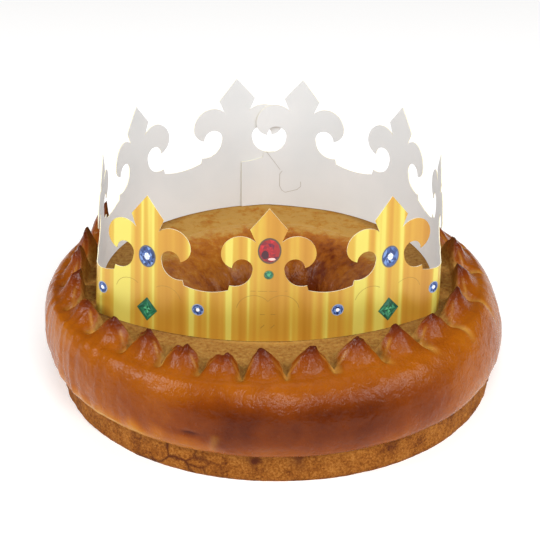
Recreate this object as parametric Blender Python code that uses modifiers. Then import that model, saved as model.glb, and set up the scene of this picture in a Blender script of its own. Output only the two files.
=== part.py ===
"""A brioche king cake: a glazed ring of dough with snipped peaks, and the card crown that stands on it.

Metres, +Z up, the front towards -Y.  The origin is under the middle of the whole, on the surface
that the cake stands on.  Azimuths go round from the front towards +X.
"""

from math import atan2, ceil, cos, exp, floor, hypot, pi, radians, sin

import bmesh
import bpy
from mathutils import Vector

# ---- Driving dimensions of the brioche ----
BASE_RADIUS = 0.1168  # the foot, on the table
SEAM_RADIUS = 0.1181  # top of the straight side that the tin shaped
SEAM_HEIGHT = 0.0166
OVERHANG = 0.0016  # how far the dome stands out over the seam
DOME_RADIUS = 0.1255  # the widest part of the risen dome
DOME_WIDEST_HEIGHT = 0.0306
DOME_ROLL_RADIUS = 0.0214  # how far in from there the dome rolls over
SHOULDER_TURN = radians(60)  # how far round its roll the dome ends and the peaks begin
TOP_HEIGHT = 0.0545  # the flat dough inside the peaks
LIP_RADIUS = 0.0720  # where that dough starts to roll down into the hole
HOLE_WAIST_RADIUS = 0.0345  # the narrowest part of the hole
HOLE_FOOT_RADIUS = 0.0380
HOLE_LIP_DEPTH = 0.0315  # how far down the lip's roll reaches
FOOT_ROUNDING = 0.0018
LEAN_LEFT = 0.0047  # how far the top sits to the left of the foot
SQUEEZE = 0.016  # how much narrower than round the ring is, and longer, as a share
FRONT_RIGHT_SWELL = 0.012  # the ring spreads a little there, as a share
TILT = 0.016  # fall of the top from front to back, in metres a metre
TILT_FROM_Y = -0.070  # where the top has its nominal height

# ---- The snipped peaks ----
PEAK_RISE = 0.0128
PEAK_RADIUS = 0.1003
PEAK_INNER_FOOT = 0.0030  # the steep cut face, from the tip inwards
PEAK_OUTER_FOOT = 0.0110  # the glazed face, from the tip outwards
SEGMENTS_PER_PEAK = 4
# Azimuths of the tips in degrees: scissor cuts made by hand, so their spacing is uneven.
PEAK_AZIMUTHS = (
    -144, -131, -118, -107, -94, -80, -65, -50, -36, -24.5,
    -12.5, -1, 12, 27, 41.5, 54.5, 70, 87, 104,
    117, 130, 143, 157, 171, 186, 201,
)

# ---- Driving dimensions of the card crown ----
CARD = 0.0004
GAP = 0.0004  # between the crown and the dough, and between its overlapping ends
PITCH = 0.0646  # from one fleur to the next
FLEURS_EACH_WAY = 4
FRONT_ARC_RADIUS = 0.1375
FRONT_ARC_HALF_ANGLE = radians(39)
CREASE_ANGLE = radians(51.5)  # the turn from the front to each side
CREASE_WIDTH = 0.008
SIDE_RADIUS = 0.620
SIDE_LENGTH = 0.0423
CROWN_MIDDLE_X = -0.0046
CROWN_FRONT_Y = -0.0702
LEAN_BACK = 0.030  # lean of the whole crown, in metres a metre
LEAN_RIGHT = 0.018
BACK_FLARE = 0.065  # the back wall leans out by this much more
FLARE_TWIST = 0.045  # and its left end by this much more than its middle
LEFT_LEAN_IN = 0.055  # while the left wall leans in
SOFT_CREASE = 4.28 * PITCH  # along the strip to either side, a fold that has nearly sprung flat
SOFT_CREASE_RISE = 0.0028  # how far it stands out of the smooth curve
SOFT_CREASE_REACH = 0.020
OVERLAP_EASE = 0.025  # length over which the inner end steps in

# The fleur's half outline in (along the strip, up it), from the tip to the valley.
TIP = (0.0, 0.0751)
DIAMOND_CORNER = (0.0095, 0.0632)
NECK = (0.0066, 0.0562)
SCROLL_TOP = (0.0149, 0.0592)
SCROLL_SIDE = (0.0243, 0.0499)
SCROLL_UNDERSIDE = (0.0230, 0.0445)
HOOK = (0.0186, 0.0413)
BITE_TOP = (0.0143, 0.0465)
STEM = (0.0083, 0.0395)
BITE_FOOT = (0.0106, 0.0342)
STEP_TOP = (0.0199, 0.0313)
STEP_FOOT = (0.0206, 0.0284)
VALLEY_SAG = 0.0019
STATION_STEP = 0.0050  # length of strip between two bends
CREASE_STATION_STEP = 0.0016


def material(name, colour, roughness, metallic=0.0):
    made = bpy.data.materials.new(name)
    made.use_nodes = True
    shader = made.node_tree.nodes["Principled BSDF"]
    shader.inputs["Base Color"].default_value = (*colour, 1.0)
    shader.inputs["Roughness"].default_value = roughness
    shader.inputs["Metallic"].default_value = metallic
    return made


def smoothstep(x, low, high):
    t = min(max((x - low) / (high - low), 0.0), 1.0)
    return t * t * (3 - 2 * t)


def near(azimuth, middle, width):
    """1 at an azimuth of middle degrees, falling like a bell over width degrees to either side."""
    turn = (azimuth - radians(middle) + pi) % (2 * pi) - pi
    return exp(-((turn / radians(width)) ** 2))


def sink(y, height):
    """How much lower than its nominal height the tilted top is."""
    return TILT * (y - TILT_FROM_Y) * min(height / TOP_HEIGHT, 1.0) ** 2


# ---- The brioche ----


def brioche_profile():
    """(radius, height) points of the section, down the outside and up through the hole."""
    roll_centre = DOME_RADIUS - DOME_ROLL_RADIUS
    roll_rise = (TOP_HEIGHT + 0.0015 - DOME_WIDEST_HEIGHT) / sin(SHOULDER_TURN)
    points = [
        (PEAK_RADIUS, TOP_HEIGHT),
        (PEAK_RADIUS + 0.45 * PEAK_OUTER_FOOT, TOP_HEIGHT + 0.0004),
    ]
    for share in (1.0, 0.72, 0.45, 0.2, 0.0):
        turn = SHOULDER_TURN * share
        radius = roll_centre + DOME_ROLL_RADIUS * cos(turn)
        points.append((radius, DOME_WIDEST_HEIGHT + roll_rise * sin(turn)))
    under = DOME_RADIUS - SEAM_RADIUS - OVERHANG
    drop = DOME_WIDEST_HEIGHT - SEAM_HEIGHT
    for turn in (radians(30), radians(60), radians(85)):
        points.append((DOME_RADIUS - under * (1 - cos(turn)), DOME_WIDEST_HEIGHT - drop * sin(turn)))
    points += [
        (SEAM_RADIUS, SEAM_HEIGHT - 0.0012),
        (BASE_RADIUS + 0.0008, FOOT_ROUNDING),
        (BASE_RADIUS - 0.0008, 0.0),
        (HOLE_FOOT_RADIUS, 0.0),
        (HOLE_WAIST_RADIUS + 0.0010, 0.0045),
        (HOLE_WAIST_RADIUS, 0.0170),
    ]
    lip_run = LIP_RADIUS - HOLE_WAIST_RADIUS
    for turn in (radians(8), radians(28), radians(50), radians(70), radians(90)):
        height = TOP_HEIGHT - HOLE_LIP_DEPTH * (1 - sin(turn))
        points.append((LIP_RADIUS - lip_run * cos(turn), height))
    points += [
        (0.5 * (LIP_RADIUS + PEAK_RADIUS), TOP_HEIGHT),
        (PEAK_RADIUS - PEAK_INNER_FOOT, TOP_HEIGHT),
    ]
    return points


def peak_columns():
    """Azimuth of every column of points, and how much of a peak's rise it has."""
    tips = [radians(a) for a in PEAK_AZIMUTHS]
    columns = []
    for here, after in zip(tips, tips[1:] + [tips[0] + 2 * pi]):
        for step in range(SEGMENTS_PER_PEAK):
            share = step / SEGMENTS_PER_PEAK
            from_tip = 2 * min(share, 1 - share)
            columns.append((here + (after - here) * share, (1 - from_tip) ** 1.2))
    return columns


def peak_ring_shift(azimuth):
    """How far the ring of peaks stands outside its mean radius: it gives way at the crown's corners."""
    left = 0.0032 * near(azimuth, -70, 18)
    right = 0.0030 * near(azimuth, 72, 16) + 0.0034 * near(azimuth, 103, 20)
    front = -0.0040 * near(azimuth, 23, 18)
    return left + right + front


def peak_rise(azimuth):
    """The peaks stand taller at the back on the left, where the dough rose most."""
    return PEAK_RISE * (1 + 0.75 * near(azimuth, -122, 34))


def peak_share(radius):
    """How much of a peak's rise a point at this radius of the plain section has."""
    if radius <= PEAK_RADIUS:
        return smoothstep(radius, PEAK_RADIUS - PEAK_INNER_FOOT, PEAK_RADIUS)
    return max(0.0, 1 - (radius - PEAK_RADIUS) / PEAK_OUTER_FOOT)


def near_peak_ring(radius, height):
    """1 at the ring of peaks, falling to 0 at the crown's circle and at the dome's widest part."""
    if height < DOME_WIDEST_HEIGHT:
        return 0.0
    return smoothstep(radius, LIP_RADIUS, PEAK_RADIUS - PEAK_INNER_FOOT) * (
        1 - smoothstep(radius, PEAK_RADIUS + PEAK_OUTER_FOOT, DOME_RADIUS)
    )


def make_brioche():
    profile = brioche_profile()
    columns = peak_columns()
    outline = bpy.data.meshes.new("brioche_profile")
    edges = [(i, (i + 1) % len(profile)) for i in range(len(profile))]
    outline.from_pydata([(radius, 0.0, height) for radius, height in profile], edges, [])
    turned = bpy.data.objects.new("brioche_turned", outline)
    bpy.context.scene.collection.objects.link(turned)
    screw = turned.modifiers.new("Screw", "SCREW")
    screw.steps = len(columns)
    screw.render_steps = len(columns)
    screw.use_merge_vertices = True
    screw.merge_threshold = 0.00001
    graph = bpy.context.evaluated_depsgraph_get()
    mesh = bpy.data.meshes.new_from_object(turned.evaluated_get(graph))
    bpy.data.objects.remove(turned)
    for vertex in mesh.vertices:
        radius = hypot(vertex.co.x, vertex.co.y)
        height = vertex.co.z
        turn = atan2(vertex.co.x, -vertex.co.y) % (2 * pi)
        azimuth, rise = columns[round(turn / (2 * pi) * len(columns)) % len(columns)]
        share = peak_share(radius) if height >= TOP_HEIGHT - 0.0001 else 0.0
        radius += peak_ring_shift(azimuth) * near_peak_ring(radius, height)
        radius *= 1 + SQUEEZE * cos(2 * azimuth) + FRONT_RIGHT_SWELL * near(azimuth, 50, 38)
        lean = LEAN_LEFT * (height / TOP_HEIGHT) ** 1.8
        y = -radius * cos(azimuth)
        height += peak_rise(azimuth) * rise * share
        vertex.co = (radius * sin(azimuth) - lean, y, height - sink(y, height))
    mesh.name = "brioche"
    return bpy.data.objects.new("brioche", mesh)


# ---- The card crown ----


def arc_through(start, via, end, steps):
    """Points after start up to and with end, on the circle through the three."""
    ax, ay = start
    bx, by = via
    cx, cy = end
    d = 2 * (ax * (by - cy) + bx * (cy - ay) + cx * (ay - by))
    a2, b2, c2 = ax * ax + ay * ay, bx * bx + by * by, cx * cx + cy * cy
    ox = (a2 * (by - cy) + b2 * (cy - ay) + c2 * (ay - by)) / d
    oy = (a2 * (cx - bx) + b2 * (ax - cx) + c2 * (bx - ax)) / d
    radius = hypot(ax - ox, ay - oy)
    first = atan2(ay - oy, ax - ox)
    middle = (atan2(by - oy, bx - ox) - first) % (2 * pi)
    last = (atan2(cy - oy, cx - ox) - first) % (2 * pi)
    if middle > last:
        last -= 2 * pi
    turns = [first + last * (i + 1) / steps for i in range(steps)]
    return [(ox + radius * cos(t), oy + radius * sin(t)) for t in turns]


def half_fleur():
    """From the tip down the right-hand side of one fleur to the middle of the valley."""
    valley_end = (0.5 * PITCH, STEP_FOOT[1] - VALLEY_SAG)
    points = [TIP, DIAMOND_CORNER, NECK]
    points += arc_through(NECK, SCROLL_TOP, SCROLL_SIDE, 6)
    points += arc_through(SCROLL_SIDE, SCROLL_UNDERSIDE, HOOK, 3)
    points += arc_through(HOOK, BITE_TOP, STEM, 6)
    points += arc_through(STEM, BITE_FOOT, STEP_TOP, 5)
    points.append(STEP_FOOT)
    run = valley_end[0] - STEP_FOOT[0]
    for share in (0.4, 1.0):
        points.append((STEP_FOOT[0] + run * share, STEP_FOOT[1] - VALLEY_SAG * (1 - (1 - share) ** 2)))
    return points


def strip_outline():
    """The whole cut edge of the flat strip: along the fleurs from left to right, then back below."""
    right = half_fleur()
    left = [(-x, y) for x, y in reversed(right)]
    fleur = left + right[1:]
    points = []
    for k in range(-FLEURS_EACH_WAY, FLEURS_EACH_WAY + 1):
        points += [(x + k * PITCH, y) for x, y in (fleur if k == -FLEURS_EACH_WAY else fleur[1:])]
    half_length = (FLEURS_EACH_WAY + 0.5) * PITCH
    return points + [(half_length, 0.0), (-half_length, 0.0)]


def side_lengths():
    """Distances along half the closed ring at which the front arc, the crease and the side end."""
    front = FRONT_ARC_RADIUS * FRONT_ARC_HALF_ANGLE
    return front, front + CREASE_WIDTH, front + CREASE_WIDTH + SIDE_LENGTH


def bent(run, turned, radius, distance):
    """A point and heading after going on by distance on an arc of this radius."""
    x, y = run
    now = turned + distance / radius
    return (x + radius * (sin(now) - sin(turned)), y - radius * (cos(now) - cos(turned))), now


def back_arc():
    """Start of the arc that closes the ring at the back, its heading, and its radius."""
    run, turned = bent((0.0, 0.0), 0.0, FRONT_ARC_RADIUS, side_lengths()[0])
    run, turned = bent(run, turned, CREASE_WIDTH / CREASE_ANGLE, CREASE_WIDTH)
    run, turned = bent(run, turned, SIDE_RADIUS, SIDE_LENGTH)
    return run, turned, run[0] / sin(turned)


def ring_point(along):
    """Plan place and heading of a point this far along the strip from the middle of the front."""
    front, crease, side = side_lengths()
    far = abs(along)
    run, turned = bent((0.0, 0.0), 0.0, FRONT_ARC_RADIUS, min(far, front))
    if far > front:
        run, turned = bent(run, turned, CREASE_WIDTH / CREASE_ANGLE, min(far, crease) - front)
    if far > crease:
        run, turned = bent(run, turned, SIDE_RADIUS, min(far, side) - crease)
    if far > side:
        run, turned = bent(run, turned, back_arc()[2], far - side)
    sign = 1 if along >= 0 else -1
    return sign * run[0], run[1], sign * turned


def ring_length():
    run, turned, radius = back_arc()
    return 2 * (side_lengths()[2] + radius * (pi - turned))


def crown_place(along, up, out):
    """Where a point of the flat strip goes: out is towards the printed face."""
    x, y, heading = ring_point(along)
    inner_end_starts = ring_length() - (FLEURS_EACH_WAY + 0.5) * PITCH
    step_in = (CARD + GAP) * smoothstep(along, inner_end_starts - OVERLAP_EASE, inner_end_starts - 0.002)
    lean = (BACK_FLARE - FLARE_TWIST * sin(heading)) * (0.5 - 0.5 * cos(heading)) ** 2
    if along < 0:
        lean -= LEFT_LEAN_IN * sin(heading) ** 2
    crease = SOFT_CREASE_RISE * exp(-abs(abs(along) - SOFT_CREASE) / SOFT_CREASE_REACH)
    off = out - step_in + lean * up + crease
    y += CROWN_FRONT_Y - off * cos(heading)
    return Vector((
        CROWN_MIDDLE_X + x + off * sin(heading) + LEAN_RIGHT * up,
        y + LEAN_BACK * up,
        TOP_HEIGHT + GAP + up - sink(y, TOP_HEIGHT),
    ))


def bend_stations():
    """Distances along the strip at which it is cut across, closer together at the two creases."""
    half_length = (FLEURS_EACH_WAY + 0.5) * PITCH
    count = floor(half_length / STATION_STEP)
    stations = [STATION_STEP * i for i in range(-count, count + 1)]
    front, crease, _ = side_lengths()
    for i in range(ceil(CREASE_WIDTH / CREASE_STATION_STEP) + 1):
        place = front + CREASE_WIDTH * i / ceil(CREASE_WIDTH / CREASE_STATION_STEP)
        stations += [place, -place]
    return stations


def make_crown():
    bm = bmesh.new()
    bm.faces.new([bm.verts.new((x, y, 0.0)) for x, y in strip_outline()])
    for station in bend_stations():
        bmesh.ops.bisect_plane(
            bm, geom=bm.faces[:] + bm.edges[:] + bm.verts[:], dist=1e-6,
            plane_co=(station, 0.0, 0.0), plane_no=(1.0, 0.0, 0.0),
        )
    bmesh.ops.triangulate(bm, faces=bm.faces[:])
    grown = bmesh.ops.extrude_face_region(bm, geom=bm.faces[:])
    lifted = [v for v in grown["geom"] if isinstance(v, bmesh.types.BMVert)]
    bmesh.ops.translate(bm, verts=lifted, vec=(0.0, 0.0, CARD))
    bmesh.ops.recalc_face_normals(bm, faces=bm.faces[:])
    for vertex in bm.verts:
        vertex.co = crown_place(vertex.co.x, vertex.co.y, vertex.co.z)
    mesh = bpy.data.meshes.new("paper_crown")
    bm.to_mesh(mesh)
    bm.free()
    return bpy.data.objects.new("paper_crown", mesh)


# ---- The whole ----


def centre_over_origin(parts):
    """Moves the meshes together so that the whole's box stands centred on the origin."""
    places = [vertex.co for part in parts for vertex in part.data.vertices]
    low = Vector([min(place[i] for place in places) for i in range(3)])
    high = Vector([max(place[i] for place in places) for i in range(3)])
    shift = Vector((-0.5 * (low.x + high.x), -0.5 * (low.y + high.y), -low.z))
    for part in parts:
        for vertex in part.data.vertices:
            vertex.co += shift


def main():
    for old in list(bpy.data.objects):
        bpy.data.objects.remove(old)
    collection = bpy.data.collections.new("brioche_king_cake")
    bpy.context.scene.collection.children.link(collection)
    brioche = make_brioche()
    crown = make_crown()
    centre_over_origin([brioche, crown])
    brioche.data.materials.append(material("glazed_brioche", (0.42, 0.12, 0.02), 0.35))
    crown.data.materials.append(material("gold_printed_card", (0.85, 0.62, 0.10), 0.30))
    for part in (brioche, crown):
        part.data.shade_smooth()
        part.data.set_sharp_from_angle(angle=radians(35))
        collection.objects.link(part)


main()
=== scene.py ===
"""A brioche king cake: a ring of egg-washed dough with snipped peaks, inside a printed card crown.

Metres, +Z up, the front towards -Y.  Azimuths go round from the front towards +X.
"""

from math import atan2, ceil, cos, exp, floor, hypot, pi, radians, sin
from random import Random

import bmesh
import bpy
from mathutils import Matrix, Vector, noise


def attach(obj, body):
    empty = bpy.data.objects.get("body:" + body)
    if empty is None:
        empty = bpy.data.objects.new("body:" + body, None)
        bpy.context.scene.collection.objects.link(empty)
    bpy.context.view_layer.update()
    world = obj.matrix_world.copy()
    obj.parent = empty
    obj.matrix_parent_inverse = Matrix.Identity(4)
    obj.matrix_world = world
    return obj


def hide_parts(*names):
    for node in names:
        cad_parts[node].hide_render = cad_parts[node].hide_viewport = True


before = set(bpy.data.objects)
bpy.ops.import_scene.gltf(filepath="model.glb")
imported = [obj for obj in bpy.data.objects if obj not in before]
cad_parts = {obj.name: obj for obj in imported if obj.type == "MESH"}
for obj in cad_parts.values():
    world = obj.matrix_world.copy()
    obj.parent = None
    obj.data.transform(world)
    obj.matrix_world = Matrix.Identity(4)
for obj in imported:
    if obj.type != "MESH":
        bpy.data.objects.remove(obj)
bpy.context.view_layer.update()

# ---- The brioche's section, as the solid has it ----
FOOT_CENTRE_X = 0.001736  # where the middle of the foot is
BASE_RADIUS = 0.1168
SEAM_RADIUS = 0.1181
SEAM_HEIGHT = 0.0166
OVERHANG = 0.0016
DOME_RADIUS = 0.1250
DOME_WIDEST_HEIGHT = 0.0306
DOME_ROLL_RADIUS = 0.0214
SHOULDER_TURN = radians(60)
TOP_HEIGHT = 0.0545
LIP_RADIUS = 0.0720
HOLE_WAIST_RADIUS = 0.0345
HOLE_FOOT_RADIUS = 0.0380
HOLE_LIP_DEPTH = 0.0315
LEAN_LEFT = 0.0047
SQUEEZE = 0.016
FRONT_RIGHT_SWELL = 0.012
TILT = 0.016
TILT_FROM_Y = -0.070
SHOULDER_LIFT = 0.0015  # how far the dome's shoulder stands over the cut top
DOME_ROLL_RISE = 0.0293  # half the height of the ellipse that the dome's roll follows

# ---- What the crust adds to that section ----
COLUMNS = 592  # points round the ring
# The dome meets the top in a corner near this radius, which is rounded off.
SHOULDER_RADIUS = 0.1143
SHOULDER_DROP = 0.00137
SHOULDER_EASE = 0.0030

# ---- The peaks ----
PEAK_RISE = 0.0130
PEAK_RADIUS = 0.1003
PEAK_INNER_FOOT = 0.0030
PEAK_OUTER_FOOT = 0.0125
NOTCH_DEPTH = 0.0020
TIP_CURL_OUT = 0.0018
TIP_CURL_SIDEWAYS = 0.0013
# On the far left the peaks are slender and stand taller.
TALL_PEAKS_AZIMUTH = -122
TALL_PEAKS_EXTRA = 0.75
TALL_PEAKS_SLENDER = 0.9
# Each peak: azimuth of its tip in degrees, height as a share, bluntness, sideways curl in mm, twin tip.
PEAKS = (
    (-144, 0.95, 0.10, 0.8, 0), (-131, 1.04, 0.02, 1.6, 0), (-115.5, 1.16, 0.02, -1.4, 0),
    (-104.5, 0.95, 0.24, 0.6, 0), (-94, 1.00, 0.04, 1.0, 0), (-80, 1.00, 0.10, -1.0, 0),
    (-65, 0.95, 0.12, 0.8, 1), (-50, 0.98, 0.10, 1.2, 0), (-36, 1.00, 0.20, -0.8, 0),
    (-24.5, 0.98, 0.34, 0.8, 1), (-12.5, 0.90, 0.16, 1.4, 1), (-1, 1.00, 0.10, -1.0, 0),
    (12, 1.02, 0.08, 1.2, 0), (27, 1.04, 0.06, 0.8, 0), (41.5, 1.02, 0.08, -1.0, 0),
    (54.5, 0.85, 0.12, 0.8, 0), (70, 1.05, 0.08, 0.8, 0), (87, 0.98, 0.12, -0.6, 0),
    (104, 1.00, 0.26, 0.6, 0), (117, 0.95, 0.05, 0.8, 0), (130, 0.95, 0.10, -0.8, 0),
    (143, 1.00, 0.15, 0.7, 0), (157, 0.92, 0.08, -0.7, 0), (171, 1.00, 0.12, 0.9, 0),
    (186, 0.95, 0.20, -0.9, 0), (201, 1.00, 0.10, 0.8, 0),
)

# ---- The card crown, as the solid has it ----
CARD = 0.0004
GAP = 0.0004
PITCH = 0.0646
FLEURS_EACH_WAY = 4
HALF_STRIP = (FLEURS_EACH_WAY + 0.5) * PITCH
FRONT_ARC_RADIUS = 0.1375
FRONT_ARC_HALF_ANGLE = radians(39)
CREASE_ANGLE = radians(51.5)
CREASE_WIDTH = 0.008
SIDE_RADIUS = 0.620
SIDE_LENGTH = 0.0423
CROWN_MIDDLE_X = -0.0046
CROWN_FRONT_Y = -0.0702
LEAN_BACK = 0.030
LEAN_RIGHT = 0.018
BACK_FLARE = 0.065
FLARE_TWIST = 0.045
LEFT_LEAN_IN = 0.055
SOFT_CREASE = 4.28 * PITCH
SOFT_CREASE_RISE = 0.0028
SOFT_CREASE_REACH = 0.020
OVERLAP_EASE = 0.025
STATION_STEP = 0.0025
INK_LIFT = 0.00006  # the ink's layers lie this far apart, just over the card
SCORE_WIDTH = 0.00022
SLIT_WIDTH = 0.00030

# ---- Light and camera ----
FLOOR_GLOW = 0.25
WORLD_STRENGTH = 0.10
LIGHT_AIM = (0, 0, 0.04)
# Each softbox: name, place, width and height, watts.
SOFTBOXES = (
    ("softbox_left", (-1.04, -0.40, 0.78), (0.60, 0.50), 12.0),
    ("softbox_front", (0.15, -1.08, 0.92), (0.50, 0.32), 9.0),
    ("softbox_right", (0.95, -0.42, 0.78), (0.60, 0.56), 9.5),
    ("softbox_top", (0.05, 0.15, 1.20), (0.8, 0.6), 2.6),
)
FRAME_PIXELS = 540.0
FOCAL_PIXELS = 2791.0
SENSOR_WIDTH = 36.0
CAMERA_ELEVATION = radians(28.066)
CAMERA_DISTANCE = 1.5
CAMERA_TARGET = (0.00188, 0.00081, 0.05125)


def linear(hex_colour):
    """An sRGB hex colour as the linear RGBA that shaders take."""
    values = [int(hex_colour[i:i + 2], 16) / 255 for i in (1, 3, 5)]
    return tuple(v / 12.92 if v <= 0.04045 else ((v + 0.055) / 1.055) ** 2.4 for v in values) + (1.0,)


def smoothstep(x, low, high):
    t = min(max((x - low) / (high - low), 0.0), 1.0)
    return t * t * (3 - 2 * t)


def near(azimuth, middle, width):
    """1 at an azimuth of middle degrees, falling like a bell over width degrees to either side."""
    turn = (azimuth - radians(middle) + pi) % (2 * pi) - pi
    return exp(-((turn / radians(width)) ** 2))


def sink(y, height):
    """How much lower than its nominal height the tilted top is."""
    return TILT * (y - TILT_FROM_Y) * min(height / TOP_HEIGHT, 1.0) ** 2


def add_piece(name, bm, materials, replaced=()):
    """Makes the finished bmesh a smooth-shaded piece that rides on the cake."""
    mesh = bpy.data.meshes.new(name)
    bm.to_mesh(mesh)
    bm.free()
    for material in materials:
        mesh.materials.append(material)
    mesh.shade_smooth()
    piece = bpy.data.objects.new(name, mesh)
    bpy.context.scene.collection.objects.link(piece)
    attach(piece, "root")
    if replaced:
        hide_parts(*replaced)
    return piece


# ---- Brioche: the shape ----


def stretch(start, end, step):
    """Points after start, up to and with end, no more than step apart."""
    count = max(1, ceil(hypot(end[0] - start[0], end[1] - start[1]) / step))
    return [
        (start[0] + (end[0] - start[0]) * i / count, start[1] + (end[1] - start[1]) * i / count)
        for i in range(1, count + 1)
    ]


def brioche_profile():
    """(radius, height) of the section, from the foot of the peaks down the outside and up the hole."""
    roll_centre = DOME_RADIUS - DOME_ROLL_RADIUS
    roll_rise = (TOP_HEIGHT + SHOULDER_LIFT - DOME_WIDEST_HEIGHT) / sin(SHOULDER_TURN)
    inner_foot = (PEAK_RADIUS - PEAK_INNER_FOOT - 0.0060, TOP_HEIGHT)
    points = [inner_foot]
    points += stretch(points[-1], (PEAK_RADIUS, TOP_HEIGHT), 0.00050)
    points += stretch(points[-1], (PEAK_RADIUS + 0.005, TOP_HEIGHT + 0.0004), 0.00050)
    shoulder = (roll_centre + DOME_ROLL_RADIUS * cos(SHOULDER_TURN), TOP_HEIGHT + SHOULDER_LIFT)
    points += stretch(points[-1], shoulder, 0.00055)
    steps = 26
    for i in range(1, steps + 1):
        turn = SHOULDER_TURN * (1 - i / steps)
        height = DOME_WIDEST_HEIGHT + roll_rise * sin(turn)
        points.append((roll_centre + DOME_ROLL_RADIUS * cos(turn), height))
    under = DOME_RADIUS - SEAM_RADIUS - OVERHANG
    drop = DOME_WIDEST_HEIGHT - SEAM_HEIGHT
    steps = 12
    for i in range(1, steps + 1):
        turn = radians(85) * i / steps
        points.append((DOME_RADIUS - under * (1 - cos(turn)), DOME_WIDEST_HEIGHT - drop * sin(turn)))
    points += stretch(points[-1], (SEAM_RADIUS, SEAM_HEIGHT - 0.0012), 0.0008)
    points += stretch(points[-1], (BASE_RADIUS + 0.0006, 0.0016), 0.0014)
    points += stretch(points[-1], (BASE_RADIUS - 0.0008, 0.0), 0.0014)
    points += stretch(points[-1], (HOLE_FOOT_RADIUS, 0.0), 0.0120)
    points += stretch(points[-1], (HOLE_WAIST_RADIUS + 0.0010, 0.0045), 0.0020)
    points += stretch(points[-1], (HOLE_WAIST_RADIUS, 0.0170), 0.0020)
    lip_run = LIP_RADIUS - HOLE_WAIST_RADIUS
    steps = 28
    for i in range(1, steps + 1):
        turn = radians(90) * i / steps
        height = TOP_HEIGHT - HOLE_LIP_DEPTH * (1 - sin(turn))
        points.append((LIP_RADIUS - lip_run * cos(turn), height))
    points += stretch(points[-1], inner_foot, 0.0015)
    return points[:-1]


CRUST_MASKS = ("crumb", "toast", "tin", "hole_crust_and_shade", "gold", "bake_and_shade", "scar", "stain")


def peak_cell(azimuth):
    """The peak whose cut dough holds this azimuth, and how far from its tip: 0 there, 1 at the notch."""
    best = None
    count = len(PEAKS)
    for i, peak in enumerate(PEAKS):
        turn = (azimuth - radians(peak[0]) + pi) % (2 * pi) - pi
        other = PEAKS[(i + (1 if turn >= 0 else -1)) % count][0]
        span = abs((radians(other - peak[0]) + pi) % (2 * pi) - pi) / 2
        share = abs(turn) / span
        if best is None or share < best[0]:
            best = (share, i, turn, span)
    return best


def peak_ring_shift(azimuth):
    """How far out the ring of peaks wanders, as it isn't a true circle."""
    left = 0.0032 * near(azimuth, -70, 18)
    right = 0.0030 * near(azimuth, 72, 16) + 0.0034 * near(azimuth, 103, 20)
    front = -0.0040 * near(azimuth, 23, 18)
    return left + right + front


def near_peak_ring(radius, height):
    """1 at the peaks, falling to 0 at the lip of the hole and at the widest of the dome."""
    if height < DOME_WIDEST_HEIGHT:
        return 0.0
    return smoothstep(radius, LIP_RADIUS, PEAK_RADIUS - PEAK_INNER_FOOT) * (
        1 - smoothstep(radius, PEAK_RADIUS + 0.0110, DOME_RADIUS)
    )


def wave(place, size, seed):
    """Smooth noise from -1 to 1 whose bumps are about size across."""
    return noise.noise(Vector(place) / size + Vector((seed, 3.1 * seed, -1.7 * seed)))


def peak_height(share, radius, blunt, slender):
    """Height of a peak, 1 at its tip, at this share of the way to the notch and this plain radius."""
    across = max(0.0, share - blunt * 0.5) / (1 - blunt * 0.5)
    if radius <= PEAK_RADIUS:
        run = min(0.95 * (PEAK_RADIUS - radius) / PEAK_INNER_FOOT, 1.0)
        fall = 1 - run ** 2
    else:
        run = min((radius - PEAK_RADIUS) / PEAK_OUTER_FOOT, 1.0)
        fall = (0.5 + 0.5 * cos(pi * run)) ** (0.85 + 0.35 * across)
    side = (1 - min(across, 1.0) ** 1.40) ** (1.0 + slender)
    return 0.92 * side * fall + 0.08 * exp(-((hypot(across, run) / 0.13) ** 2))


def make_brioche(crust):
    bm = bmesh.new()
    profile = [bm.verts.new((radius, 0.0, height)) for radius, height in brioche_profile()]
    edges = [bm.edges.new((profile[i - 1], profile[i])) for i in range(len(profile))]
    bmesh.ops.spin(
        bm, geom=profile + edges, cent=(0, 0, 0), axis=(0, 0, 1), dvec=(0, 0, 0),
        angle=2 * pi, steps=COLUMNS, use_merge=True, use_duplicate=False,
    )
    layers = {name: bm.verts.layers.float.new(name) for name in CRUST_MASKS}
    cells = {}
    for vertex in bm.verts:
        radius, height = hypot(vertex.co.x, vertex.co.y), vertex.co.z
        azimuth = atan2(vertex.co.x, -vertex.co.y)
        column = round(azimuth / (2 * pi) * COLUMNS) % COLUMNS
        if column not in cells:
            cells[column] = peak_cell(azimuth)
        share, index, turn, span = cells[column]
        place, masks = dough_place(radius, height, azimuth, share, PEAKS[index], turn, span)
        vertex.co = place
        for name, value in masks.items():
            vertex[layers[name]] = value
    bmesh.ops.recalc_face_normals(bm, faces=bm.faces[:])
    return add_piece("brioche_ring", bm, [crust], ["brioche"])


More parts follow.
